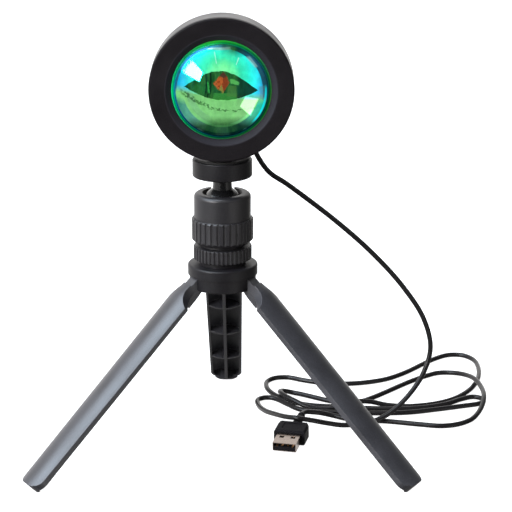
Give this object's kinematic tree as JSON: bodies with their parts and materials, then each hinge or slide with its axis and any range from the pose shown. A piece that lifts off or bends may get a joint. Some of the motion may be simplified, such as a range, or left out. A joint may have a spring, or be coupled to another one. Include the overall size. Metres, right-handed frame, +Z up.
{
  "type": "sunset projection lamp",
  "caption": "Small round projection lamp with a coated lens, on a ball head over a folding mini tripod, with a thin plug-ended supply cord.",
  "frame": {"origin": "on the standing plane, on the axis of the column", "axes": "+Z up along the column, the lamp looks along -Y, +X to the right seen from the front"},
  "size_m": [0.237, 0.2008, 0.2217],
  "materials": {
    "housing_black": "satin black moulded plastic with a fine grain",
    "stand_black": "satin black coat",
    "ball_black": "glossy black coat",
    "leg_black": "satin black moulded plastic",
    "rubber": "matt black",
    "steel": "zinc plated",
    "brass": "turned",
    "aluminium": "plain",
    "lens_glass": "clear optical glass with a green and cyan dichroic coat",
    "filter_glass": "orange dichroic coat",
    "tube_black": "matt black",
    "emitter": "yellow phosphor under clear resin",
    "board_white": "white solder mask on an aluminium board",
    "lead_red": "insulated wire",
    "cord_black": "satin black jacket",
    "plug_black": "satin black overmould",
    "plug_metal": "nickel plated",
    "contact_gold": "plated"
  },
  "bodies": {
    "stand": {"hub_disc": "stand_black", "hub_block": "leg_black", "hub_screws": "steel", "tripod_stud": "steel", "leg_pins": "steel", "ball_head_base": "stand_black", "cord_drop": "cord_black", "cord_floor": "cord_black", "plug_strain_relief": "plug_black", "plug_body": "plug_black", "plug_shell": "plug_metal", "plug_tongue": "plug_black", "plug_contacts": "contact_gold"},
    "nut": {"lock_nut": "stand_black"},
    "sleeve": {"lock_sleeve": "stand_black", "ball_seat": "tube_black", "cord_upper": "cord_black"},
    "head": {"ball_stem": "ball_black", "platform": "stand_black", "platform_stud": "steel", "platform_pad": "rubber", "thread_insert": "brass", "front_bezel": "housing_black", "head_shell": "housing_black", "lens": "lens_glass", "lens_seal": "rubber", "lens_retainer": "tube_black", "colour_filter": "filter_glass", "light_tube": "tube_black", "led_emitter": "emitter", "led_board": "board_white", "board_screws": "steel", "heat_sink": "aluminium", "led_leads": "lead_red", "rear_cover": "housing_black", "rear_cover_screws": "steel", "cable_grommet": "rubber"},
    "left_leg": {"leg_left": "leg_black"},
    "right_leg": {"leg_right": "leg_black"},
    "rear_leg": {"leg_rear": "leg_black"}
  },
  "joints": [
    {"name": "sleeve_turn", "type": "hinge", "parent": "stand", "child": "sleeve", "pos_m": [0, 0, 0.1269], "axis": [0, 0, 1], "range_deg": [-90, 90], "deforming": ["cord_drop"]},
    {"name": "ball_tilt", "type": "hinge", "parent": "sleeve", "child": "head", "pos_m": [0, 0, 0.1269], "axis": [1, 0, 0], "range_deg": [-85, 27], "deforming": ["cord_upper"]},
    {"name": "lock_nut_turn", "type": "hinge", "parent": "stand", "child": "nut", "pos_m": [0, 0, 0.1042], "axis": [0, 0, 1], "range_deg": [-180, 0]},
    {"name": "left_leg_fold", "type": "hinge", "parent": "stand", "child": "left_leg", "pos_m": [-0.00996, -0.00575, 0.092], "axis": [0.5, -0.866, 0], "range_deg": [0, 45.5]},
    {"name": "right_leg_fold", "type": "hinge", "parent": "stand", "child": "right_leg", "pos_m": [0.00996, -0.00575, 0.092], "axis": [0.5, 0.866, 0], "range_deg": [0, 45.5]},
    {"name": "rear_leg_fold", "type": "hinge", "parent": "stand", "child": "rear_leg", "pos_m": [0, 0.0115, 0.092], "axis": [-1, 0, 0], "range_deg": [0, 45.5]}
  ]
}
